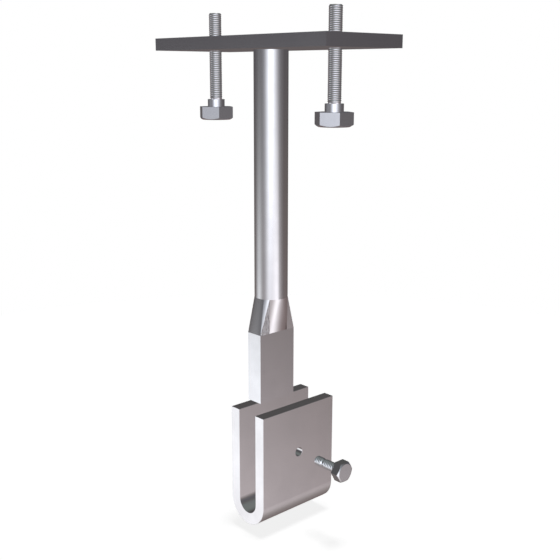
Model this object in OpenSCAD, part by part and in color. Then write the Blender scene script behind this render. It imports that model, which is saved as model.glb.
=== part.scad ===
// Hanger: a plate on two bolts, a drop rod forged to a flat tongue, and a
// U-bent strap with a clamp screw that holds a flat bar stood on its edge.
// Millimetres. The origin is the centre of the plate's top face, +Z is up, +X
// is the plate's long direction and the side that the clamp screw is on.

/* [Top plate] */
// Length of the plate along X
plate_l = 230; // [200:1:300]
// Width of the plate along Y
plate_w = 92; // [60:1:140]
// Thickness of the plate
plate_t = 11.3; // [6:0.1:20]

/* [Drop rod] */
// Diameter of the round rod
rod_d = 32; // [24:0.5:40]
// Length of the round part below the plate
rod_l = 230; // [100:5:400]
// Length of the forged part between round and flat
forge_l = 34; // [15:1:60]
// Length of the flat tongue below the forged part
tongue_l = 68.5; // [30:0.5:120]
// Width of the flat tongue along Y
tongue_w = 43.5; // [30:0.5:60]
// Thickness of the flat tongue along X
tongue_t = 18; // [12:0.5:24]

/* [U strap] */
// Thickness of the strap's flat bar
strap_t = 11.4; // [6:0.1:16]
// Width of the strap's flat bar along Y
strap_w = 92; // [50:1:140]
// Clear gap between the strap's two legs
strap_gap = 23.1; // [18:0.1:40]
// Overall height of the strap
strap_h = 114.3; // [90:0.1:180]
// Depth of the clamp screw's axis below the strap's top
screw_drop = 46; // [25:0.5:52]

/* [Plate bolts] */
// Distance from each end of the plate to its bolt's axis
bolt_inset = 34.5; // [20:0.5:60]
// Thread diameter of a plate bolt
bolt_d = 12; // [8:0.5:14]
// How far a plate bolt stands out above the plate
bolt_out = 23.7; // [10:0.1:60]
// Free length of a plate bolt below the plate, down to its collar
bolt_drop = 45.8; // [20:0.1:90]
// Diameter of the round collar above the head
collar_d = 16.5; // [15:0.1:20]
// Height of the collar
collar_h = 7.1; // [3:0.1:12]
// Width of the hexagon head across its flats
head_af = 30; // [24:0.1:36]
// Height of the hexagon head
head_h = 12.5; // [6:0.1:20]
// Turn of both bolt heads about their axes, in degrees
head_turn = 30; // [0:1:60]

/* [Clamp screw] */
// Thread diameter of the clamp screw
screw_d = 9; // [6:0.1:12]
// Length of the clamp screw under its head
screw_l = 28.2; // [20:0.1:36]
// Distance from the strap's front face to the tip, as it stands drawn out
screw_out = 25.1; // [2:0.1:60]
// Length of the screw's tip, up to the groove
screw_tip_l = 9.9; // [3:0.1:14]
// Width of the clamp screw's hexagon head across its flats
screw_af = 18; // [14:0.1:22]
// Height of the clamp screw's hexagon head
screw_head_h = 8.6; // [5:0.1:12]
// Turn of the clamp screw's head about its axis, in degrees
screw_turn = 30; // [0:1:60]

/* [Fits] */
// Radial clearance of each thread in its tapped hole
thread_gap = 0.05; // [0.02:0.01:0.1]
// Length of the chamfer at each thread's tip
tip_chamfer = 1; // [0.4:0.1:1.4]
// Depth of the groove round the clamp screw
groove_depth = 0.5; // [0.2:0.1:0.8]

/* [Hidden] */
$fn = 96;

// Heights from the top down: the plate, the rod's round, forged and flat parts
plate_z = -plate_t;
forge_z = plate_z - rod_l;
tongue_z = forge_z - forge_l;
strap_top_z = tongue_z - tongue_l;

// The back leg is centred under the tongue, and the front leg is a gap away
leg_back_x = -strap_t / 2;
gap_x = strap_t / 2;
leg_front_x = gap_x + strap_gap;
strap_front_x = leg_front_x + strap_t;
bend_x = gap_x + strap_gap / 2;
bend_r_in = strap_gap / 2;
bend_r_out = bend_r_in + strap_t;
bend_z = strap_top_z - strap_h + bend_r_out;
screw_z = strap_top_z - screw_drop;
bolt_x = plate_l / 2 - bolt_inset;

// The chamfered corner of a hexagon head starts at this share of its flats
chamfer_share = 0.91;
// The chamfer of a hexagon head falls at 30 degrees
chamfer_angle = 30;
// Each wide face of the tongue is forged from this arc of the rod, half of it
// on either side, so that its corners stay in line with their points on the rod
wide_arc = 2 * atan2(tongue_w, tongue_t);
narrow_arc = 180 - wide_arc;
wide_steps = 18;
narrow_steps = 6;
forge_rings = 4;
// The forged part starts this far inside the rod, and is joined into the rod
// and the tongue by a short root, which is this long and this far inside it
forge_inset = 0.1;
root_l = 0.5;
root_inset = 0.3;
// Cutting tools run past the faces that they cut by this much
past = 1;

// A flat plate with two tapped holes for its bolts
module top_plate() {
    color("dimgray")
    difference() {
        translate([-plate_l / 2, -plate_w / 2, plate_z])
            cube([plate_l, plate_w, plate_t]);
        for (side = [-1, 1])
            translate([side * bolt_x, 0, plate_z - past])
                cylinder(d = bolt_d + 2 * thread_gap, h = plate_t + 2 * past);
    }
}

// Points round one half of the forged part, from the middle of one corner to
// the opposite one: each is its angle on the rod and its place on the tongue's
// edge, where side is 1 for the half towards +X and -1 for the other
function forge_half(side) = concat(
    [for (i = [0:wide_steps - 1])
        let (u = i / wide_steps)
        [wide_arc * (u - 0.5), side * tongue_t / 2, side * tongue_w * (u - 0.5)]],
    [for (i = [0:narrow_steps - 1])
        let (u = i / narrow_steps)
        [wide_arc / 2 + narrow_arc * u, side * tongue_t * (0.5 - u), side * tongue_w / 2]]
);

// All the points round it, with the far half turned by half a turn
forge_points = concat(
    forge_half(1),
    [for (p = forge_half(-1)) [p[0] + 180, p[1], p[2]]]
);

// One ring of the forged part at height z: round where flat is 0, the tongue's
// rectangle where flat is 1, and smaller all round by the inset
function forge_ring(z, flat, inset) = [
    for (p = forge_points)
        let (
            r = rod_d / 2 - inset,
            tongue_x = p[1] * (1 - 2 * inset / tongue_t),
            tongue_y = p[2] * (1 - 2 * inset / tongue_w)
        )
        [
            (1 - flat) * r * cos(p[0]) + flat * tongue_x,
            (1 - flat) * r * sin(p[0]) + flat * tongue_y,
            z
        ]
];

// The forged part, ruled with straight lines from the rod's circle to the
// tongue's edges, so that four creases run down to the tongue's corners
module forged_part() {
    count = len(forge_points);
    rings = concat(
        [forge_ring(forge_z + root_l, 0, root_inset)],
        [for (k = [0:forge_rings])
            let (flat = k / forge_rings)
            forge_ring(forge_z - forge_l * flat, flat, forge_inset * (1 - flat))],
        [forge_ring(tongue_z - root_l, 1, root_inset)]
    );
    last = len(rings) - 1;
    top_centre = len(rings) * count;
    bottom_centre = top_centre + 1;
    walls = [
        for (k = [0:last - 1], i = [0:count - 1])
            let (a = k * count + i, b = k * count + (i + 1) % count)
            each [[a, b, b + count], [a, b + count, a + count]]
    ];
    top = [for (i = [0:count - 1]) [top_centre, (i + 1) % count, i]];
    bottom = [
        for (i = [0:count - 1])
            [bottom_centre, last * count + i, last * count + (i + 1) % count]
    ];
    polyhedron(
        points = concat(
            [for (ring = rings) each ring],
            [[0, 0, forge_z + root_l], [0, 0, tongue_z - root_l]]
        ),
        faces = concat(top, walls, bottom)
    );
}

// One bar, round at the top, forged over a short length to a flat tongue
module drop_rod() {
    color("lightgray") {
        translate([0, 0, forge_z])
            cylinder(d = rod_d, h = rod_l);
        forged_part();
        translate([-tongue_t / 2, -tongue_w / 2, strap_top_z])
            cube([tongue_t, tongue_w, tongue_l]);
    }
}

// A ring sector of the strap's bend, below its two legs
module strap_bend() {
    intersection() {
        difference() {
            circle(r = bend_r_out);
            circle(r = bend_r_in);
        }
        translate([-bend_r_out, -bend_r_out])
            square([2 * bend_r_out, bend_r_out]);
    }
}

// The strap's outline in the XZ plane: two legs joined by a half-round bend
module strap_outline() {
    leg_l = strap_top_z - bend_z;
    translate([leg_back_x, bend_z]) square([strap_t, leg_l]);
    translate([leg_front_x, bend_z]) square([strap_t, leg_l]);
    translate([bend_x, bend_z]) strap_bend();
}

// Flat bar bent into a U, with a tapped hole through its front leg
module u_strap() {
    color("silver")
    difference() {
        translate([0, strap_w / 2, 0])
            rotate([90, 0, 0])
                linear_extrude(strap_w) strap_outline();
        translate([leg_front_x - past, 0, screw_z])
            rotate([0, 90, 0])
                cylinder(d = screw_d + 2 * thread_gap, h = strap_t + 2 * past);
    }
}

// Profile of a head that is chamfered on its outer face, for the lathe
module chamfer_profile(af, height) {
    blank_r = af / sqrt(3) + past;
    face_r = af / 2 * chamfer_share;
    polygon([
        [0, 0],
        [face_r, 0],
        [blank_r, (blank_r - face_r) * tan(chamfer_angle)],
        [blank_r, height + past],
        [0, height + past]
    ]);
}

// A hexagon head with its chamfered face at Z = 0 and its shank side above
module hex_head(af, height) {
    intersection() {
        cylinder(r = af / sqrt(3), h = height, $fn = 6);
        rotate_extrude() chamfer_profile(af, height);
    }
}

// A threaded shank that ends at Z = l with a chamfer, and has its root in the
// head, this far below Z = 0
module shank(d, l, root) {
    rotate_extrude()
        polygon([
            [0, -root],
            [d / 2, -root],
            [d / 2, l - tip_chamfer],
            [d / 2 - tip_chamfer, l],
            [0, l]
        ]);
}

// A bolt that goes up through the plate, with a round collar on its head
module plate_bolt(side) {
    collar_z = plate_z - bolt_drop;
    color("gainsboro")
    translate([side * bolt_x, 0, collar_z]) {
        shank(bolt_d, bolt_drop + plate_t + bolt_out, collar_h);
        translate([0, 0, -collar_h - head_h / 2])
            cylinder(d = collar_d, h = collar_h + head_h / 2);
        translate([0, 0, -collar_h - head_h])
            rotate(head_turn) hex_head(head_af, head_h);
    }
}

module plate_bolt_left() {
    plate_bolt(-1);
}

module plate_bolt_right() {
    plate_bolt(1);
}

// A short hexagon screw, drawn out in front of its hole in the strap, with a
// shallow groove behind its tip
module clamp_screw() {
    head_x = strap_front_x + screw_out + screw_l;
    color("lightsteelblue")
    translate([head_x, 0, screw_z])
        rotate([0, -90, 0]) {
            difference() {
                shank(screw_d, screw_l, screw_head_h / 2);
                translate([0, 0, screw_l - screw_tip_l])
                    rotate_extrude()
                        polygon([
                            [screw_d / 2 - groove_depth, 0],
                            [screw_d / 2 + past, -groove_depth - past],
                            [screw_d / 2 + past, groove_depth + past]
                        ]);
            }
            translate([0, 0, -screw_head_h])
                rotate(screw_turn) hex_head(screw_af, screw_head_h);
        }
}

top_plate();
drop_rod();
u_strap();
plate_bolt_left();
plate_bolt_right();
clamp_screw();
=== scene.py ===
"""Flat bar hanger: top plate, forged drop rod, U strap and its screws."""
import math

import bmesh
import bpy
from bpy.props import (
    FloatProperty,
    FloatVectorProperty,
    PointerProperty,
    StringProperty,
)
from bpy.types import Operator, Panel, PropertyGroup
from mathutils import Matrix, Vector


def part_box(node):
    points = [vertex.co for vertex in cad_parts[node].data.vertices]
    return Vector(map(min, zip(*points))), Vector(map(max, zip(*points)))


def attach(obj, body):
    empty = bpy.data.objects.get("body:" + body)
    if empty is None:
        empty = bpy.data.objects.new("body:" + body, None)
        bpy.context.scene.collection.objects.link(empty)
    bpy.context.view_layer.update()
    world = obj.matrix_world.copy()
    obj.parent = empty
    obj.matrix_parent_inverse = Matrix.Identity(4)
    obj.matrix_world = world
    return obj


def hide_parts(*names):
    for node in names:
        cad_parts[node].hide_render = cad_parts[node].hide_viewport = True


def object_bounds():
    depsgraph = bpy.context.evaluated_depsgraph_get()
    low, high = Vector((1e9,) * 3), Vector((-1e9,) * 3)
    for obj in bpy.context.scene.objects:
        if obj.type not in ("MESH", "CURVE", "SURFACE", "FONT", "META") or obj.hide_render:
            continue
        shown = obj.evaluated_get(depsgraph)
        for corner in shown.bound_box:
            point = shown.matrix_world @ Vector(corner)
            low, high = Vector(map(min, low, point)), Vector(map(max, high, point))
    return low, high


bl_info = {
    "name": "Flat Bar Hanger",
    "version": (1, 0, 0),
    "blender": (4, 5, 0),
    "location": "3D View > Sidebar > Hanger",
    "description": "Builds a plate, rod and strap hanger that holds a flat bar on its edge",
    "category": "Add Mesh",
}

# The frame, and the boxes that the pieces take their sizes from

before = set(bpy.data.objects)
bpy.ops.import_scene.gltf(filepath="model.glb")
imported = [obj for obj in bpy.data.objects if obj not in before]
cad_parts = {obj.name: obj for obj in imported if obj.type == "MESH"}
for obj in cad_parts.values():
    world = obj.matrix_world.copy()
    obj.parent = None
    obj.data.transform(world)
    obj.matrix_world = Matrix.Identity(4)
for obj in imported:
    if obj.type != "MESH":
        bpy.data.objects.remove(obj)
CAD_LOW, CAD_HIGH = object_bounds()
PLATE_LOW, PLATE_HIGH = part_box("top_plate")
ROD_LOW, ROD_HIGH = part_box("drop_rod")
STRAP_LOW, STRAP_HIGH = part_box("u_strap")
LEFT_LOW, LEFT_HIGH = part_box("plate_bolt_left")
RIGHT_LOW, RIGHT_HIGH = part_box("plate_bolt_right")
SCREW_LOW, SCREW_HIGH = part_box("clamp_screw")

MM = 0.001

# A face whose normal lies this close to an axis is square to it
SQUARE = 0.99999

# Edges sharper than this many degrees stay sharp. Each is more than one step of a turn. On the strap
# it is less than one step of a broken edge, on the rod less than the forged part's creases, and on a
# bolt more than one step of its thread's crest and less than its head's chamfer
SHARP_DEGREES = 15
ROD_SHARP_DEGREES = 7
BOLT_SHARP_DEGREES = 22

# An edge sharper than this many degrees is a corner on any piece
CORNER_DEGREES = 30

# One turn of a lathed or threaded piece is cut into this many steps, which a
# hexagon's corners and the forged part's corners both fall on
TURN_STEPS = 72

# Radial clearance of a thread in its tapped hole, and how far the hole's edges
# are countersunk
THREAD_GAP = 0.05 * MM
COUNTERSINK = 0.1 * MM

# Points nearer than this lie at the same height
TOUCH = 0.01 * MM

# How far the steel's roughness goes up and down from one patch to the next
POLISH_SPREAD = 0.02

# How much the grain's lines count in the steel's tone, beside its patches
LINE_SHARE = 0.4

# Where the forged part's round middle stands on the tongue's edge, as shares of
# the tongue's half width, how many steps of the rim each corner takes beside
# it, and the angle that its sides turn to at its feet. Of the rim's steps, the
# wide and the narrow sides take three and one in each four
FORGE_FEET = (-0.46, 0.58)
FORGE_FACETS = (4, 4)
FORGE_ROUND = math.radians(25)
WIDE_STEPS = 3 * TURN_STEPS // 8
NARROW_STEPS = TURN_STEPS // 8

# The slope where the thread's round crest ends, and that of the flanks below it.
# The crest is drawn round and the root as a plain V, since a turn is only two
# pixels high in the photo's view and two flats would blur into one grey
CREST_SLOPE = math.radians(50)
CREST_STEPS = 5
FLANK_SLOPE = math.radians(60)

# A thread's chamfered tip, and how far its end lies inside the thread's root
TIP_CHAMFER = 1 * MM
TIP_INSET = 0.1 * MM

# A groove's floor, as a share of the thread's radius, and half of its width
GROOVE_SHARE = 0.74
GROOVE_HALF = 0.7 * MM

# A hexagon head's chamfer starts at this share of its flats and falls this much
CHAMFER_SHARE = 0.91
CHAMFER_SLOPE = math.radians(30)

# Polished steel gives back about 0.62 of what it mirrors, so the studio is
# that much brighter than its lights show in the steel
STUDIO_LEVEL = 1 / 0.62

# What the steel mirrors of the room, from straight down (0) to straight up (1)
ROOM_TONES = (
    (0.0, "#646363"), (0.25, "#675756"), (0.42, "#595352"), (0.5, "#514e50"),
    (0.57, "#45464e"), (0.7, "#484544"), (0.87, "#6a7171"), (1.0, "#7b7d7c"),
)

# The room's soft lights: azimuth, elevation, width, height and tilt in degrees,
# colour and strength. The first draws the bright band down the rod, the second
# whitens the end faces, the third lightens what faces the clamp screw, and the
# last the foot of the bend
SOFT_LIGHTS = (
    (-44.5, 6.5, 27, 33, -45, "#f0f5ff", 1.39),
    (-136, -24, 23, 13.5, 5, "#f1f8ff", 1.08),
    (3, -28, 32, 17, -30, "#f5f7ff", 1.03),
    (0, -60, 34, 31, -10, "#fff2f0", 0.31),
)

# What the camera sees where the floor lies in full shadow: a very light grey
SHADE_LEVEL = 0.863

# The floor is a flat disc of four rings, whose radii are in metres
FLOOR_RADII = (0.1, 0.3, 0.6, 0.9)
FLOOR_STEPS = 96


# Sizes and colours that a user would change


class HangerSizes(PropertyGroup):
    """Sizes that the frame's boxes do not give."""

    edge: FloatProperty(
        name="Edge break", description="Width of the broken edge on the strap",
        default=0.15 * MM, min=0.1 * MM, max=1.5 * MM, unit="LENGTH", precision=5,
    )
    rod_diameter: FloatProperty(
        name="Rod diameter", description="Diameter of the round rod",
        default=32 * MM, min=24 * MM, max=40 * MM, unit="LENGTH", precision=5,
    )
    forge_length: FloatProperty(
        name="Forged length", description="Length of the part between round and flat",
        default=34 * MM, min=15 * MM, max=60 * MM, unit="LENGTH", precision=5,
    )
    tongue_length: FloatProperty(
        name="Tongue length", description="Length of the flat tongue",
        default=68.5 * MM, min=30 * MM, max=120 * MM, unit="LENGTH", precision=5,
    )
    tongue_thickness: FloatProperty(
        name="Tongue thickness", description="Thickness of the flat tongue",
        default=18 * MM, min=12 * MM, max=24 * MM, unit="LENGTH", precision=5,
    )
    strap_thickness: FloatProperty(
        name="Strap thickness", description="Thickness of the strap's flat bar",
        default=11.4 * MM, min=6 * MM, max=16 * MM, unit="LENGTH", precision=5,
    )
    screw_drop: FloatProperty(
        name="Screw hole depth", description="Depth of the clamp screw's axis below the strap's top",
        default=46 * MM, min=25 * MM, max=52 * MM, unit="LENGTH", precision=5,
    )


class BoltSizes(PropertyGroup):
    """Sizes of a hexagon bolt and its thread."""

    thread: FloatProperty(
        name="Thread", description="Outer diameter of the thread",
        default=12 * MM, min=6 * MM, max=20 * MM, unit="LENGTH", precision=5,
    )
    pitch: FloatProperty(
        name="Pitch", description="Distance from one turn of the thread to the next",
        default=1.75 * MM, min=0.8 * MM, max=2.5 * MM, unit="LENGTH", precision=5,
    )
    crest: FloatProperty(
        name="Crest", description="Share of the pitch that the thread's round crest takes",
        default=0.75, min=0.1, max=0.9,
    )
    head_flats: FloatProperty(
        name="Head", description="Width of the hexagon head across its flats",
        default=30 * MM, min=14 * MM, max=36 * MM, unit="LENGTH", precision=5,
    )
    head_height: FloatProperty(
        name="Head height", description="Height of the hexagon head",
        default=12.5 * MM, min=5 * MM, max=20 * MM, unit="LENGTH", precision=5,
    )
    collar: FloatProperty(
        name="Collar", description="Diameter of the round collar on the head",
        default=16.5 * MM, min=6 * MM, max=24 * MM, unit="LENGTH", precision=5,
    )
    collar_height: FloatProperty(
        name="Collar height", description="Height of the round collar",
        default=7.1 * MM, min=0, max=12 * MM, unit="LENGTH", precision=5,
    )
    groove: FloatProperty(
        name="Groove", description="Distance from the tip to the groove, or 0 for none",
        default=0, min=0, max=12 * MM, unit="LENGTH", precision=5,
    )


class HangerFinish(PropertyGroup):
    """The colours of the steel and of the studio, as sRGB hex values."""

    # The plate's colour is set darker than the bar's, as painted shade
    plate: StringProperty(
        name="Plate", description="Hot rolled plate, darker than bar", default="#c1bfc0",
    )
    rod: StringProperty(
        name="Rod", description="Bright drawn bar", default="#d1d0d0",
    )
    strap: StringProperty(
        name="Strap", description="Bright flat bar", default="#d1cfce",
    )
    bolt: StringProperty(
        name="Bolt", description="Rolled thread and turned head", default="#d4d5d8",
    )
    screw: StringProperty(
        name="Clamp screw", description="Rolled thread and turned head", default="#cfd2d3",
    )
    floor: StringProperty(
        name="Floor", description="Studio floor and background", default="#ffffff",
    )


class StudioSetup(PropertyGroup):
    """The camera, the lamp and the floor."""

    camera: FloatVectorProperty(
        name="Camera", description="Place of the camera", size=3,
        default=(0.6118, -0.5509, -0.0312), subtype="TRANSLATION",
    )
    yaw: FloatProperty(
        name="Yaw", description="Turn of the camera about Z, from looking along +Y",
        default=math.radians(47.404), subtype="ANGLE",
    )
    pitch: FloatProperty(
        name="Pitch", description="How far the camera looks down",
        default=math.radians(13.281), subtype="ANGLE",
    )
    roll: FloatProperty(
        name="Roll", description="Turn of the camera about its own axis",
        default=math.radians(0.121), subtype="ANGLE",
    )
    lens: FloatProperty(
        name="Lens", description="Focal length in millimetres, on a 36 mm sensor",
        default=56.606, min=20, max=200,
    )
    floor_gap: FloatProperty(
        name="Floor gap", description="How far the hanger hangs above the floor",
        default=10 * MM, min=0, max=0.5, unit="LENGTH",
    )
    lamp_spread: FloatProperty(
        name="Lamp spread", description="How wide the lamp looks, in degrees",
        default=14, min=0, max=60,
    )
    lamp_tilt: FloatProperty(
        name="Lamp tilt", description="How far the lamp leans towards +X, in degrees",
        default=6.5, min=-60, max=60,
    )
    lamp_strength: FloatProperty(
        name="Lamp strength", description="Strength of the lamp on the floor",
        default=0.6, min=0, max=10,
    )


# Helpers


def hex_to_linear(text):
    """An sRGB hex colour as linear red, green, blue and alpha."""
    parts = [int(text[i:i + 2], 16) / 255 for i in (1, 3, 5)]
    linear = [c / 12.92 if c <= 0.04045 else ((c + 0.055) / 1.055) ** 2.4 for c in parts]
    return (*linear, 1.0)


def add_node(tree, kind, settings=None, inputs=None, links=None):
    """Adds a node, sets its properties and input values, and links its inputs."""
    node = tree.nodes.new(kind)
    for key, value in (settings or {}).items():
        setattr(node, key, value)
    for key, value in (inputs or {}).items():
        node.inputs[key].default_value = value
    for key, socket in (links or {}).items():
        tree.links.new(socket, node.inputs[key])
    return node


def new_material(name):
    """An empty node material and its tree."""
    material = bpy.data.materials.new(name)
    material.use_nodes = True
    material.node_tree.nodes.clear()
    return material, material.node_tree


def faces_an_axis(face):
    """True for a flat face that lies square to X, Y or Z."""
    return max(abs(part) for part in face.normal) > SQUARE


def shade(mesh, sharp_degrees, is_flat=None):
    """Shades a mesh smooth, but for edges past an angle and its flat faces.

    is_flat tells which faces those are, so that a broken edge beside a flat
    face does not make it look rounded.
    """
    mesh.set_sharp_from_angle(angle=math.radians(sharp_degrees))
    for polygon in mesh.polygons:
        polygon.use_smooth = not (is_flat and is_flat(polygon))


def finish_mesh(bm, name, sharp_degrees, is_flat=None):
    """Turns a bmesh into a shaded object in the scene."""
    bmesh.ops.remove_doubles(bm, verts=bm.verts, dist=0.001 * MM)
    bmesh.ops.dissolve_degenerate(bm, edges=bm.edges, dist=0.0005 * MM)
    bmesh.ops.recalc_face_normals(bm, faces=bm.faces)
    mesh = bpy.data.meshes.new(name)
    bm.to_mesh(mesh)
    bm.free()
    shade(mesh, sharp_degrees, is_flat)
    piece = bpy.data.objects.new(name, mesh)
    bpy.context.scene.collection.objects.link(piece)
    return piece


def shadow_casters():
    """The collection of the pieces whose shadow falls on the floor."""
    name = "floor shadow casters"
    return bpy.data.collections.get(name) or bpy.data.collections.new(name)


def place_piece(piece, material, body, node):
    """Gives a piece its finish and its body, and hides the solid it stands for.

    The pieces do not show in each other's polish, so the steel mirrors the
    studio alone, and they throw no light on the floor.
    """
    piece.data.materials.append(material)
    piece.visible_glossy = False
    piece.visible_diffuse = False
    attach(piece, body)
    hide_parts(node)


def add_ring(bm, points):
    """Adds one closed ring of points and gives its vertices."""
    return [bm.verts.new(point) for point in points]


def add_circle(bm, radius, z, steps, middle_x=0.0):
    """Adds a level circle of points, with its middle at Y = 0."""
    angles = [math.tau * i / steps for i in range(steps)]
    points = [(middle_x + radius * math.cos(a), radius * math.sin(a), z) for a in angles]
    return add_ring(bm, points)


def join_rings(bm, first, second):
    """Joins two rings of equal length with a band of faces."""
    count = len(first)
    for i in range(count):
        j = (i + 1) % count
        bm.faces.new((first[i], first[j], second[j], second[i]))


def close_ring(bm, ring, centre):
    """Closes a ring with a fan of faces from a centre."""
    middle = bm.verts.new(centre)
    count = len(ring)
    for i in range(count):
        bm.faces.new((ring[i], ring[(i + 1) % count], middle))


def break_edges(bm, width, sharp_degrees):
    """Bevels every edge that is sharper than an angle, as a file would break it."""
    limit = math.radians(sharp_degrees)
    edges = [e for e in bm.edges if len(e.link_faces) == 2 and e.calc_face_angle() > limit]
    bmesh.ops.bevel(
        bm, geom=edges, offset=width, offset_type="OFFSET", segments=2,
        profile=0.5, affect="EDGES", clamp_overlap=True,
    )


def cut_hole(piece, centre, axis, thread, length):
    """Drills a thread's hole through a piece and countersinks its edges."""
    bm = bmesh.new()
    radius = thread / 2 + THREAD_GAP
    wide = radius + 2 * COUNTERSINK
    end = length / 2
    profile = (
        (wide, -end - COUNTERSINK), (radius, -end + COUNTERSINK),
        (radius, end - COUNTERSINK), (wide, end + COUNTERSINK),
    )
    rings = [add_circle(bm, r, z, TURN_STEPS) for r, z in profile]
    for lower, upper in zip(rings, rings[1:]):
        join_rings(bm, lower, upper)
    close_ring(bm, rings[0], (0, 0, profile[0][1]))
    close_ring(bm, rings[-1], (0, 0, profile[-1][1]))
    turn = Vector(axis).to_track_quat("Z", "Y").to_matrix().to_4x4()
    bm.transform(Matrix.Translation(centre) @ turn)
    drill = finish_mesh(bm, "drill", CORNER_DEGREES)
    cut = piece.modifiers.new("hole", "BOOLEAN")
    cut.operation = "DIFFERENCE"
    cut.solver = "EXACT"
    cut.object = drill
    evaluated = piece.evaluated_get(bpy.context.evaluated_depsgraph_get())
    mesh = bpy.data.meshes.new_from_object(evaluated)
    piece.modifiers.clear()
    piece.data = mesh
    bpy.data.objects.remove(drill)
    shade(mesh, SHARP_DEGREES, faces_an_axis)


# Finishes


def steel(name, colour, dark, roughness, grain, grain_scale, spots_mm, bump_mm):
    """Steel with a fine directional grain and soft patches of wear.

    The grain's scale is a count per metre along X, Y and Z, grain is how plainly
    it shows and bump_mm its height. spots_mm is the size of the soft patches
    that a hand or a rack leaves on the metal, in the darker colour.
    """
    material, tree = new_material(name)
    place = add_node(tree, "ShaderNodeTexCoord")
    stretch = add_node(
        tree, "ShaderNodeMapping", inputs={"Scale": grain_scale},
        links={"Vector": place.outputs["Object"]},
    )
    lines = add_node(
        tree, "ShaderNodeTexNoise",
        inputs={"Scale": 1.0, "Detail": 3.0, "Roughness": 0.6},
        links={"Vector": stretch.outputs["Vector"]},
    )
    patches = add_node(
        tree, "ShaderNodeTexNoise",
        inputs={"Scale": 1 / (spots_mm * MM), "Detail": 4.0, "Roughness": 0.55},
        links={"Vector": place.outputs["Object"]},
    )
    blend = add_node(
        tree, "ShaderNodeMath", {"operation": "MULTIPLY_ADD"},
        inputs={1: LINE_SHARE}, links={0: lines.outputs["Fac"], 2: patches.outputs["Fac"]},
    )
    wear = add_node(
        tree, "ShaderNodeMapRange",
        inputs={"From Min": 0.45, "From Max": 0.95, "To Min": 0.0, "To Max": 1.0},
        links={"Value": blend.outputs["Value"]},
    )
    tint = add_node(
        tree, "ShaderNodeMix", {"data_type": "RGBA"},
        inputs={6: hex_to_linear(dark), 7: hex_to_linear(colour)},
        links={0: wear.outputs["Result"]},
    )
    polish = add_node(
        tree, "ShaderNodeMapRange",
        inputs={
            "From Min": 0.35, "From Max": 0.65,
            "To Min": roughness + POLISH_SPREAD, "To Max": roughness - POLISH_SPREAD,
        },
        links={"Value": patches.outputs["Fac"]},
    )
    scratch = add_node(
        tree, "ShaderNodeBump", inputs={"Strength": grain, "Distance": bump_mm * MM},
        links={"Height": lines.outputs["Fac"]},
    )
    shader = add_node(
        tree, "ShaderNodeBsdfPrincipled", inputs={"Metallic": 1.0},
        links={
            "Base Color": tint.outputs[2], "Roughness": polish.outputs["Result"],
            "Normal": scratch.outputs["Normal"],
        },
    )
    add_node(tree, "ShaderNodeOutputMaterial", links={"Surface": shader.outputs["BSDF"]})
    return material


def rolled_plate_steel(finish):
    # Hot rolled plate, pickled, with faint roll lines along its length and soft patches about 30 mm
    # across. Its tone is set darker than the bar's as painted shade. The real lines are too fine to
    # show, so they are drawn 1.5 mm apart
    return steel(
        "hot rolled plate steel with painted shade", finish.plate, dark="#bdbbbc", roughness=0.2,
        grain=0.1, grain_scale=(60, 650, 650), spots_mm=30, bump_mm=0.02,
    )


def drawn_bar_steel(finish):
    # Bright drawn bar: die lines along its length give the satin streak that
    # runs down the rod. They are too fine to show, and are drawn 0.8 mm apart
    return steel(
        "bright drawn bar steel", finish.rod, dark="#cac9c9", roughness=0.2,
        grain=0.08, grain_scale=(1250, 1250, 25), spots_mm=22, bump_mm=0.01,
    )


def hammered_steel(finish):
    # The same bar where the forging hammer last struck it: dents between 1 and
    # 2 mm across, drawn deep enough to show in the photo's view
    return steel(
        "hammered bar steel", finish.rod, dark="#cac9c9", roughness=0.2,
        grain=1.0, grain_scale=(900, 900, 600), spots_mm=22, bump_mm=1.6,
    )


def flat_bar_steel(finish):
    # Bright flat bar, bent cold: the tone is a shade warmer than the rod's, and
    # roll lines run down the legs. They are drawn 1.1 mm apart, so that they show
    return steel(
        "bright flat bar steel", finish.strap, dark="#cac8c7", roughness=0.22,
        grain=0.1, grain_scale=(900, 900, 40), spots_mm=26, bump_mm=0.01,
    )


def plated_bolt_steel(finish):
    # Zinc plated bolt: a turned head and a rolled thread, bright and even. The
    # zinc's crystal is too fine to show, and is drawn 0.7 mm across
    return steel(
        "zinc plated bolt steel", finish.bolt, dark="#cfd0d3", roughness=0.2,
        grain=0.05, grain_scale=(1400, 1400, 1400), spots_mm=9, bump_mm=0.005,
    )


def plated_screw_steel(finish):
    # Zinc plated screw with the usual blue passivation, a shade darker than the
    # plate bolts. Its crystal is drawn 0.7 mm across too
    return steel(
        "blue passivated screw steel", finish.screw, dark="#cbcecf", roughness=0.18,
        grain=0.05, grain_scale=(1400, 1400, 1400), spots_mm=6, bump_mm=0.005,
    )


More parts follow.
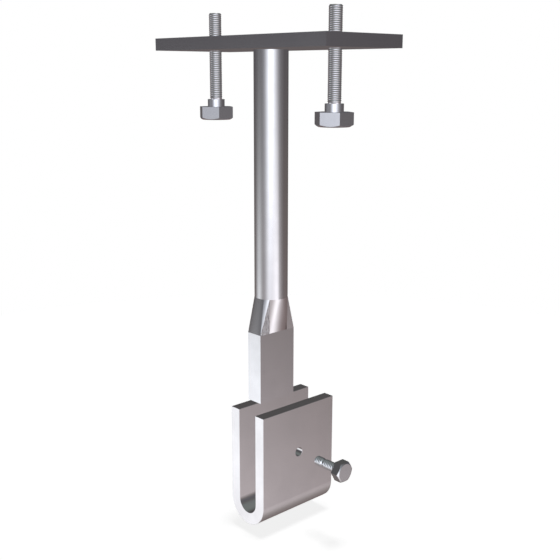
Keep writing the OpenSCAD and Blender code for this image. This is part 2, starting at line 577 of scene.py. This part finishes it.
def studio_floor_paint(finish):
    # Matt white studio floor: shows pure white to the camera, and darkens to a
    # light grey only where the strap or its screw keeps the lamp off it
    material, tree = new_material("matt studio floor")
    place = add_node(tree, "ShaderNodeTexCoord")
    mottle = add_node(
        tree, "ShaderNodeTexNoise", inputs={"Scale": 40.0, "Detail": 2.0},
        links={"Vector": place.outputs["Object"]},
    )
    rough = add_node(
        tree, "ShaderNodeMapRange", inputs={"To Min": 0.85, "To Max": 0.95},
        links={"Value": mottle.outputs["Fac"]},
    )
    paint = add_node(
        tree, "ShaderNodeBsdfPrincipled",
        inputs={"Base Color": hex_to_linear("#e6e6e6"), "Specular IOR Level": 0.2},
        links={"Roughness": rough.outputs["Result"]},
    )
    seen = add_node(tree, "ShaderNodeLightPath")
    glow = add_node(
        tree, "ShaderNodeEmission",
        inputs={"Color": hex_to_linear(finish.floor), "Strength": SHADE_LEVEL},
    )
    both = add_node(
        tree, "ShaderNodeAddShader",
        links={0: paint.outputs["BSDF"], 1: glow.outputs["Emission"]},
    )
    choice = add_node(
        tree, "ShaderNodeMixShader",
        links={
            0: seen.outputs["Is Camera Ray"], 1: paint.outputs["BSDF"], 2: both.outputs["Shader"],
        },
    )
    add_node(tree, "ShaderNodeOutputMaterial", links={"Surface": choice.outputs["Shader"]})
    return material


# Plate


def build_top_plate(finish):
    """A flat plate, its edges as they were cut, with two drilled holes."""
    bm = bmesh.new()
    low, high = PLATE_LOW, PLATE_HIGH
    corners = ((low.x, low.y), (high.x, low.y), (high.x, high.y), (low.x, high.y))
    lower = add_ring(bm, [(x, y, low.z) for x, y in corners])
    upper = add_ring(bm, [(x, y, high.z) for x, y in corners])
    join_rings(bm, lower, upper)
    bm.faces.new(lower)
    bm.faces.new(upper)
    piece = finish_mesh(bm, "plate_dressed", SHARP_DEGREES, faces_an_axis)
    bolts = bpy.context.scene.hanger_plate_bolts
    middle = (low.z + high.z) / 2
    for bolt_low, bolt_high in ((LEFT_LOW, LEFT_HIGH), (RIGHT_LOW, RIGHT_HIGH)):
        centre = ((bolt_low.x + bolt_high.x) / 2, 0, middle)
        cut_hole(piece, centre, (0, 0, 1), bolts.thread, high.z - low.z)
    place_piece(piece, rolled_plate_steel(finish), "hanger", "top_plate")


# Rod


def forge_angles(corner):
    """Angles on the rod's rim, spread over the forged part's four sides."""
    gap = math.pi - 2 * corner
    angles = []
    for turned in (0, math.pi):
        angles += [turned + corner * (2 * i / WIDE_STEPS - 1) for i in range(WIDE_STEPS)]
        angles += [turned + corner + gap * i / NARROW_STEPS for i in range(NARROW_STEPS)]
    return angles


def tongue_outline(half_t, half_w):
    """The tongue's outline in XY, from a corner on the side that faces +X."""
    half = [(half_t, y * half_w) for y in (-1, *FORGE_FEET, 1)]
    half += [(half_t * (1 - 2 * i / NARROW_STEPS), half_w) for i in range(1, NARROW_STEPS)]
    return half + [(-x, -y) for x, y in half]


def add_fan(bm, foot, rim):
    """Joins one point to a row of points with a fan of faces."""
    for first, second in zip(rim, rim[1:]):
        bm.faces.new((foot, first, second))


def add_forged_half(bm, rim, feet):
    """One wide side and one narrow side between the rod's rim and the tongue.

    The wide side is a round middle between two flat facets: the middle narrows
    to two feet on the tongue's edge, and a facet fills in to each corner. The
    first of them keeps its hammer marks, in the rod's second finish.
    """
    wide = WIDE_STEPS
    left, middle, right = FORGE_FACETS[0], wide // 2, wide - FORGE_FACETS[1]
    add_fan(bm, feet[0], rim[:left + 1])
    hammered = bm.faces.new((feet[0], feet[1], rim[left]))
    hammered.material_index = 1
    add_fan(bm, feet[1], rim[left:middle + 1])
    bm.faces.new((feet[1], feet[2], rim[middle]))
    add_fan(bm, feet[2], rim[middle:right + 1])
    bm.faces.new((feet[2], feet[3], rim[right]))
    add_fan(bm, feet[3], rim[right:wide + 1])
    upper = rim[wide:]
    lower = feet[3:]
    for i in range(len(upper) - 1):
        bm.faces.new((upper[i], upper[i + 1], lower[i + 1], lower[i]))


def round_forge_middle(mesh, half_w, forge_z, tongue_z, taper):
    """Shades the middle of each wide side as a rod that narrows to its feet.

    Faces that reach from the rim to a foot get these normals. Those that reach
    a corner of the tongue, and all the rest, keep their own.
    """
    feet_w = max(abs(y) for y in FORGE_FEET) * half_w + TOUCH
    normals = [(0.0, 0.0, 0.0)] * len(mesh.loops)
    for polygon in mesh.polygons:
        corners = [mesh.vertices[i].co for i in polygon.vertices]
        on_rim = [co for co in corners if abs(co.z - forge_z) < TOUCH]
        on_knee = [co for co in corners if abs(co.z - tongue_z) < TOUCH]
        if not on_rim or not on_knee or max(abs(co.y) for co in on_knee) > feet_w:
            continue
        side = 1 if polygon.center.x > 0 else -1
        for index in polygon.loop_indices:
            co = mesh.vertices[mesh.loops[index].vertex_index].co
            if abs(co.z - forge_z) < TOUCH:
                angle = math.atan2(co.y * side, co.x * side)
            else:
                angle = math.copysign(FORGE_ROUND, co.y * side)
            normals[index] = (
                side * math.cos(angle) * math.cos(taper),
                side * math.sin(angle) * math.cos(taper),
                -math.sin(taper),
            )
    mesh.normals_split_custom_set(normals)


def build_drop_rod(sizes, finish):
    """A round bar, forged over a short length to a flat tongue."""
    bm = bmesh.new()
    half_t = sizes.tongue_thickness / 2
    half_w = (ROD_HIGH.y - ROD_LOW.y) / 2
    radius = sizes.rod_diameter / 2
    tongue_z = ROD_LOW.z + sizes.tongue_length
    forge_z = tongue_z + sizes.forge_length
    angles = forge_angles(math.atan2(half_w, half_t))
    outline = tongue_outline(half_t, half_w)

    def rim(z):
        return add_ring(bm, [(radius * math.cos(a), radius * math.sin(a), z) for a in angles])

    top, shoulder = rim(ROD_HIGH.z), rim(forge_z)
    knee = add_ring(bm, [(x, y, tongue_z) for x, y in outline])
    foot = add_ring(bm, [(x, y, ROD_LOW.z) for x, y in outline])
    join_rings(bm, top, shoulder)
    join_rings(bm, knee, foot)
    half_rim, half_knee = len(shoulder) // 2, len(knee) // 2
    add_forged_half(bm, shoulder[:half_rim + 1], knee[:half_knee + 1])
    add_forged_half(bm, shoulder[half_rim:] + shoulder[:1], knee[half_knee:] + knee[:1])
    close_ring(bm, top, (0, 0, ROD_HIGH.z))
    close_ring(bm, foot, (0, 0, ROD_LOW.z))

    def is_tongue(face):
        return face.center.z < tongue_z and faces_an_axis(face)

    piece = finish_mesh(bm, "rod_dressed", ROD_SHARP_DEGREES, is_tongue)
    taper = math.atan2(radius - half_t, sizes.forge_length)
    round_forge_middle(piece.data, half_w, forge_z, tongue_z, taper)
    place_piece(piece, drawn_bar_steel(finish), "hanger", "drop_rod")
    piece.data.materials.append(hammered_steel(finish))


# Strap


def strap_outline(sizes):
    """The strap's outline in XZ: two legs and a half-round bend between them."""
    t = sizes.strap_thickness
    outer = (STRAP_HIGH.x - STRAP_LOW.x) / 2
    inner = outer - t
    middle = (STRAP_HIGH.x + STRAP_LOW.x) / 2
    bend_z = STRAP_LOW.z + outer
    bend_steps = TURN_STEPS // 2
    outside = []
    inside = []
    for i in range(bend_steps + 1):
        angle = math.pi + math.pi * i / bend_steps
        outside.append((middle + outer * math.cos(angle), bend_z + outer * math.sin(angle)))
        inside.append((middle + inner * math.cos(angle), bend_z + inner * math.sin(angle)))
    back = [(STRAP_LOW.x, STRAP_HIGH.z)]
    front = [(STRAP_HIGH.x, STRAP_HIGH.z), (STRAP_HIGH.x - t, STRAP_HIGH.z)]
    return back + outside + front + inside[::-1] + [(STRAP_LOW.x + t, STRAP_HIGH.z)]


def build_u_strap(sizes, finish):
    """Flat bar bent into a U, with broken edges and a hole for its screw."""
    bm = bmesh.new()
    outline = strap_outline(sizes)
    near = add_ring(bm, [(x, STRAP_LOW.y, z) for x, z in outline])
    far = add_ring(bm, [(x, STRAP_HIGH.y, z) for x, z in outline])
    join_rings(bm, near, far)
    count = len(outline)
    for ring in (near, far):
        for i in range(count // 2 - 1):
            bm.faces.new((ring[i], ring[i + 1], ring[count - 2 - i], ring[count - 1 - i]))
    bmesh.ops.recalc_face_normals(bm, faces=bm.faces)
    break_edges(bm, sizes.edge, CORNER_DEGREES)
    piece = finish_mesh(bm, "strap_dressed", SHARP_DEGREES, faces_an_axis)
    screw = bpy.context.scene.hanger_clamp_screw
    t = sizes.strap_thickness
    centre = (STRAP_HIGH.x - t / 2, 0, STRAP_HIGH.z - sizes.screw_drop)
    cut_hole(piece, centre, (1, 0, 0), screw.thread, t)
    place_piece(piece, flat_bar_steel(finish), "hanger", "u_strap")
    shadow_casters().objects.link(piece)


# Bolts


def thread_profile(crest):
    """Pairs of a share of the pitch and a depth in pitches, over one turn."""
    arc = crest / 2 / math.sin(CREST_SLOPE)
    pairs = []
    for k in range(CREST_STEPS + 1):
        slope = CREST_SLOPE * (2 * k / CREST_STEPS - 1)
        pairs.append((crest / 2 + arc * math.sin(slope), arc * (1 - math.cos(slope))))
    flank = (1 - crest) / 2
    root = pairs[-1][1] + flank * math.tan(FLANK_SLOPE)
    pairs.append((crest + flank, root))
    return pairs


def hexagon_radius(angle, flats):
    """Distance from the axis to a hexagon's edge, with a corner at 30 degrees."""
    sector = math.pi / 3
    turned = (angle + sector / 2) % sector - sector / 2
    return flats / 2 / math.cos(turned)


def add_head(bm, bolt):
    """Rings from the chamfered face up to the collar's top, at Z = 0."""
    steps = TURN_STEPS
    chamfer = math.tan(CHAMFER_SLOPE)
    face_r = bolt.head_flats / 2 * CHAMFER_SHARE
    base = -bolt.collar_height - bolt.head_height
    top = -bolt.collar_height
    angles = [math.tau * i / steps for i in range(steps)]
    edge = [hexagon_radius(a, bolt.head_flats) for a in angles]

    def ring(radii, heights):
        return add_ring(
            bm, [(r * math.cos(a), r * math.sin(a), z) for a, r, z in zip(angles, radii, heights)]
        )

    face = ring([face_r] * steps, [base] * steps)
    lower = ring(edge, [base + max(0, r - face_r) * chamfer for r in edge])
    upper = ring(edge, [top] * steps)
    rings = [face, lower, upper]
    if bolt.collar_height > 0:
        rings.append(ring([bolt.collar / 2] * steps, [top] * steps))
        rings.append(ring([bolt.collar / 2] * steps, [0] * steps))
    close_ring(bm, face, (0, 0, base))
    for first, second in zip(rings, rings[1:]):
        join_rings(bm, first, second)
    return rings[-1]


def add_thread(bm, bolt, length):
    """One helical thread from Z = 0 to a chamfered tip at the given length.

    Rows of points follow the helix and are held back at both ends, so that the
    thread runs out into plain rings that close the shank.
    """
    steps = TURN_STEPS
    profile = thread_profile(bolt.crest)
    crest_r = bolt.thread / 2
    depth = profile[-1][1] * bolt.pitch
    root_r = crest_r - depth
    top = length - TIP_CHAMFER
    turns = int(length / bolt.pitch) + 2
    rows = turns * len(profile)
    groove_z = length - bolt.groove
    groove_r = crest_r * GROOVE_SHARE

    def radius_at(z, below):
        run_in = min(1, z / bolt.pitch)
        r = root_r + (depth - below * bolt.pitch) * run_in
        if z > top:
            r = min(r, crest_r - (z - top))
        if bolt.groove > 0:
            r = min(r, groove_r + max(0, abs(z - groove_z) - GROOVE_HALF))
        return r

    grid = []
    for row in range(rows + 1):
        line = []
        turn, stop = divmod(row, len(profile))
        share, below = profile[stop]
        for i in range(steps):
            z = (turn + share + i / steps - 1) * bolt.pitch
            z = min(max(z, 0), length)
            r = root_r if z <= 0 else radius_at(z, below)
            if z >= length:
                r = root_r - TIP_INSET
            angle = math.tau * i / steps
            line.append(bm.verts.new((r * math.cos(angle), r * math.sin(angle), z)))
        grid.append(line)
    for row in range(rows):
        for i in range(steps - 1):
            bm.faces.new((grid[row][i], grid[row][i + 1], grid[row + 1][i + 1], grid[row + 1][i]))
        seam = min(row + len(profile), rows)
        seam_next = min(row + 1 + len(profile), rows)
        if seam != seam_next:
            bm.faces.new((grid[row][-1], grid[seam][0], grid[seam_next][0], grid[row + 1][-1]))
        else:
            bm.faces.new((grid[row][-1], grid[seam][0], grid[row + 1][-1]))
    return grid[0], grid[-1]


def build_bolt(name, bolt, length):
    """A hexagon bolt along Z, with its thread's first turn at Z = 0."""
    bm = bmesh.new()
    shoulder = add_head(bm, bolt)
    root, tip = add_thread(bm, bolt, length)
    join_rings(bm, shoulder, root)
    close_ring(bm, tip, (0, 0, length))
    return finish_mesh(bm, name, BOLT_SHARP_DEGREES)


def build_plate_bolts(finish):
    """The two bolts that go up through the plate."""
    bolt = bpy.context.scene.hanger_plate_bolts
    material = plated_bolt_steel(finish)
    for side, low, high in (("left", LEFT_LOW, LEFT_HIGH), ("right", RIGHT_LOW, RIGHT_HIGH)):
        collar_z = low.z + bolt.head_height + bolt.collar_height
        piece = build_bolt(f"bolt_{side}_threaded", bolt, high.z - collar_z)
        piece.data.transform(Matrix.Translation(((low.x + high.x) / 2, 0, collar_z)))
        place_piece(piece, material, f"bolt_{side}", f"plate_bolt_{side}")


def build_clamp_screw(finish):
    """The short screw in front of the strap, with a groove behind its tip."""
    bolt = bpy.context.scene.hanger_clamp_screw
    head_x = SCREW_HIGH.x - bolt.head_height
    piece = build_bolt("clamp_screw_threaded", bolt, head_x - SCREW_LOW.x)
    turn = Matrix.Rotation(-math.pi / 2, 4, "Y")
    middle_z = (SCREW_LOW.z + SCREW_HIGH.z) / 2
    piece.data.transform(Matrix.Translation((head_x, 0, middle_z)) @ turn)
    place_piece(piece, plated_screw_steel(finish), "screw", "clamp_screw")
    shadow_casters().objects.link(piece)


# Stage


def direction(azimuth, elevation):
    """The unit vector at an azimuth from +X towards +Y and an elevation."""
    a = math.radians(azimuth)
    e = math.radians(elevation)
    return Vector((math.cos(a) * math.cos(e), math.sin(a) * math.cos(e), math.sin(e)))


def add_softbox(tree, place, azimuth, elevation, width, height, tilt, colour, strength):
    """A soft oblong light in the world, wide and high by its spread in degrees."""
    towards = direction(azimuth, elevation)
    level = direction(azimuth + 90, 0)
    upright = towards.cross(level)
    turn = math.radians(tilt)
    along = level * math.cos(turn) + upright * math.sin(turn)
    across = upright * math.cos(turn) - level * math.sin(turn)

    def dot(axis):
        node = add_node(
            tree, "ShaderNodeVectorMath", {"operation": "DOT_PRODUCT"},
            inputs={1: axis}, links={0: place},
        )
        return node.outputs["Value"]

    u = dot(along / math.sin(math.radians(width)))
    v = dot(across / math.sin(math.radians(height)))
    u_squared = add_node(tree, "ShaderNodeMath", {"operation": "MULTIPLY"}, links={0: u, 1: u})
    distance = add_node(
        tree, "ShaderNodeMath", {"operation": "MULTIPLY_ADD"},
        links={0: v, 1: v, 2: u_squared.outputs["Value"]},
    )
    fade = add_node(
        tree, "ShaderNodeMath", {"operation": "POWER"},
        inputs={0: 1 / math.e}, links={1: distance.outputs["Value"]},
    )
    front = add_node(
        tree, "ShaderNodeMath", {"operation": "GREATER_THAN"},
        inputs={1: 0.0}, links={0: dot(towards)},
    )
    amount = add_node(
        tree, "ShaderNodeMath", {"operation": "MULTIPLY"},
        links={0: fade.outputs["Value"], 1: front.outputs["Value"]},
    )
    light = [channel * strength for channel in hex_to_linear(colour)[:3]]
    return add_node(
        tree, "ShaderNodeVectorMath", {"operation": "SCALE"},
        inputs={0: light}, links={"Scale": amount.outputs["Value"]},
    )


def build_world(finish):
    """A dim studio with four soft lights, and white where the camera looks.

    Its lights show in reflections alone. The floor has a lamp of its own.
    """
    world = bpy.data.worlds.new("soft studio")
    world.use_nodes = True
    tree = world.node_tree
    tree.nodes.clear()
    place = add_node(tree, "ShaderNodeTexCoord").outputs["Generated"]
    height = add_node(tree, "ShaderNodeSeparateXYZ", links={"Vector": place})
    level = add_node(
        tree, "ShaderNodeMapRange", inputs={"From Min": -1.0, "From Max": 1.0},
        links={"Value": height.outputs["Z"]},
    )
    room = add_node(tree, "ShaderNodeValToRGB", links={"Fac": level.outputs["Result"]})
    ramp = room.color_ramp.elements
    while len(ramp) < len(ROOM_TONES):
        ramp.new(0.5)
    for element, (spot, colour) in zip(ramp, ROOM_TONES):
        element.position = spot
        element.color = hex_to_linear(colour)
    total = room.outputs["Color"]
    for light in SOFT_LIGHTS:
        box = add_softbox(tree, place, *light)
        added = add_node(
            tree, "ShaderNodeVectorMath", {"operation": "ADD"},
            links={0: total, 1: box.outputs["Vector"]},
        )
        total = added.outputs["Vector"]
    seen = add_node(tree, "ShaderNodeLightPath")
    lit = add_node(
        tree, "ShaderNodeBackground", inputs={"Strength": STUDIO_LEVEL}, links={"Color": total},
    )
    white = add_node(
        tree, "ShaderNodeBackground",
        inputs={"Color": hex_to_linear(finish.floor), "Strength": 1.0},
    )
    choice = add_node(
        tree, "ShaderNodeMixShader",
        links={
            0: seen.outputs["Is Camera Ray"], 1: lit.outputs["Background"],
            2: white.outputs["Background"],
        },
    )
    add_node(tree, "ShaderNodeOutputWorld", links={"Surface": choice.outputs["Shader"]})
    world.cycles_visibility.diffuse = False
    bpy.context.scene.world = world


def build_floor(studio, finish):
    """A round floor under the hanger, as white as what lies past its rim."""
    bm = bmesh.new()
    middle = (CAD_LOW + CAD_HIGH) / 2
    z = CAD_LOW.z - studio.floor_gap
    rings = [add_circle(bm, radius, z, FLOOR_STEPS, middle.x) for radius in FLOOR_RADII]
    for inner, outer in zip(rings, rings[1:]):
        join_rings(bm, inner, outer)
    close_ring(bm, rings[0], (middle.x, 0, z))
    floor = finish_mesh(bm, "studio_floor", CORNER_DEGREES)
    if floor.data.polygons[0].normal.z < 0:
        floor.data.flip_normals()
    floor.data.materials.append(studio_floor_paint(finish))
    floor.visible_glossy = False


def build_lamp(studio):
    """A soft lamp overhead that draws the pale shadow of the strap and its screw."""
    lamp = bpy.data.lights.new("overhead lamp", "SUN")
    lamp.angle = math.radians(studio.lamp_spread)
    lamp.energy = studio.lamp_strength
    lamp_object = bpy.data.objects.new("overhead_lamp", lamp)
    lamp_object.rotation_euler = (0, math.radians(studio.lamp_tilt), 0)
    lamp_object.visible_camera = False
    lamp_object.visible_glossy = False
    lamp_object.light_linking.blocker_collection = shadow_casters()
    bpy.context.scene.collection.objects.link(lamp_object)


def build_camera(studio):
    """The camera at the photograph's angle."""
    yaw, pitch = studio.yaw, studio.pitch
    forward = Vector((
        -math.sin(yaw) * math.cos(pitch), math.cos(yaw) * math.cos(pitch), -math.sin(pitch),
    ))
    right = Vector((math.cos(yaw), math.sin(yaw), 0))
    up = right.cross(forward)
    turned_right = right * math.cos(studio.roll) + up * math.sin(studio.roll)
    turned_up = up * math.cos(studio.roll) - right * math.sin(studio.roll)
    view = Matrix((turned_right, turned_up, -forward)).transposed().to_4x4()
    data = bpy.data.cameras.new("camera")
    data.sensor_width = 36
    data.lens = studio.lens
    camera = bpy.data.objects.new("camera", data)
    camera.matrix_world = Matrix.Translation(studio.camera) @ view
    bpy.context.scene.collection.objects.link(camera)
    bpy.context.scene.camera = camera


# Operators, panel and registration


class HANGER_OT_top_plate(Operator):
    """Build the top plate"""

    bl_idname = "hanger.top_plate"
    bl_label = "Top Plate"

    def execute(self, context):
        build_top_plate(context.scene.hanger_finish)
        return {"FINISHED"}


class HANGER_OT_drop_rod(Operator):
    """Build the drop rod and its flat tongue"""

    bl_idname = "hanger.drop_rod"
    bl_label = "Drop Rod"

    def execute(self, context):
        build_drop_rod(context.scene.hanger_sizes, context.scene.hanger_finish)
        return {"FINISHED"}


class HANGER_OT_u_strap(Operator):
    """Build the U strap"""

    bl_idname = "hanger.u_strap"
    bl_label = "U Strap"

    def execute(self, context):
        build_u_strap(context.scene.hanger_sizes, context.scene.hanger_finish)
        return {"FINISHED"}


class HANGER_OT_plate_bolts(Operator):
    """Build the two plate bolts"""

    bl_idname = "hanger.plate_bolts"
    bl_label = "Plate Bolts"

    def execute(self, context):
        build_plate_bolts(context.scene.hanger_finish)
        return {"FINISHED"}


class HANGER_OT_clamp_screw(Operator):
    """Build the clamp screw"""

    bl_idname = "hanger.clamp_screw"
    bl_label = "Clamp Screw"

    def execute(self, context):
        build_clamp_screw(context.scene.hanger_finish)
        return {"FINISHED"}


class HANGER_OT_stage(Operator):
    """Build the floor, the light and the camera"""

    bl_idname = "hanger.stage"
    bl_label = "Stage"

    def execute(self, context):
        scene = context.scene
        scene.view_settings.view_transform = "Standard"
        build_camera(scene.hanger_studio)
        build_world(scene.hanger_finish)
        build_floor(scene.hanger_studio, scene.hanger_finish)
        build_lamp(scene.hanger_studio)
        return {"FINISHED"}


class HANGER_PT_panel(Panel):
    """The hanger's pieces, in the order that they are built"""

    bl_label = "Hanger"
    bl_idname = "HANGER_PT_panel"
    bl_space_type = "VIEW_3D"
    bl_region_type = "UI"
    bl_category = "Hanger"

    def draw(self, context):
        for operator in OPERATORS:
            self.layout.operator(operator.bl_idname)


GROUPS = (HangerSizes, BoltSizes, HangerFinish, StudioSetup)
OPERATORS = (
    HANGER_OT_stage,
    HANGER_OT_top_plate,
    HANGER_OT_drop_rod,
    HANGER_OT_u_strap,
    HANGER_OT_plate_bolts,
    HANGER_OT_clamp_screw,
)
CLASSES = (*GROUPS, *OPERATORS, HANGER_PT_panel)


def register():
    for cls in CLASSES:
        bpy.utils.register_class(cls)
    bpy.types.Scene.hanger_sizes = PointerProperty(type=HangerSizes)
    bpy.types.Scene.hanger_plate_bolts = PointerProperty(type=BoltSizes)
    bpy.types.Scene.hanger_clamp_screw = PointerProperty(type=BoltSizes)
    bpy.types.Scene.hanger_finish = PointerProperty(type=HangerFinish)
    bpy.types.Scene.hanger_studio = PointerProperty(type=StudioSetup)


def unregister():
    del bpy.types.Scene.hanger_studio
    del bpy.types.Scene.hanger_finish
    del bpy.types.Scene.hanger_clamp_screw
    del bpy.types.Scene.hanger_plate_bolts
    del bpy.types.Scene.hanger_sizes
    for cls in reversed(CLASSES):
        bpy.utils.unregister_class(cls)


def set_clamp_screw_sizes(screw):
    """The clamp screw is smaller, with no collar and a groove behind its tip.

    Its real pitch of about 1.5 mm is too fine to show, so it is drawn at 2 mm.
    """
    screw.thread = 9 * MM
    screw.pitch = 2 * MM
    screw.crest = 0.85
    screw.head_flats = 18 * MM
    screw.head_height = 8.6 * MM
    screw.collar_height = 0
    screw.groove = 9.9 * MM


def main():
    register()
    set_clamp_screw_sizes(bpy.context.scene.hanger_clamp_screw)
    bpy.ops.hanger.stage()
    bpy.ops.hanger.top_plate()
    bpy.ops.hanger.drop_rod()
    bpy.ops.hanger.u_strap()
    bpy.ops.hanger.plate_bolts()
    bpy.ops.hanger.clamp_screw()


if __name__ == "__main__":
    main()
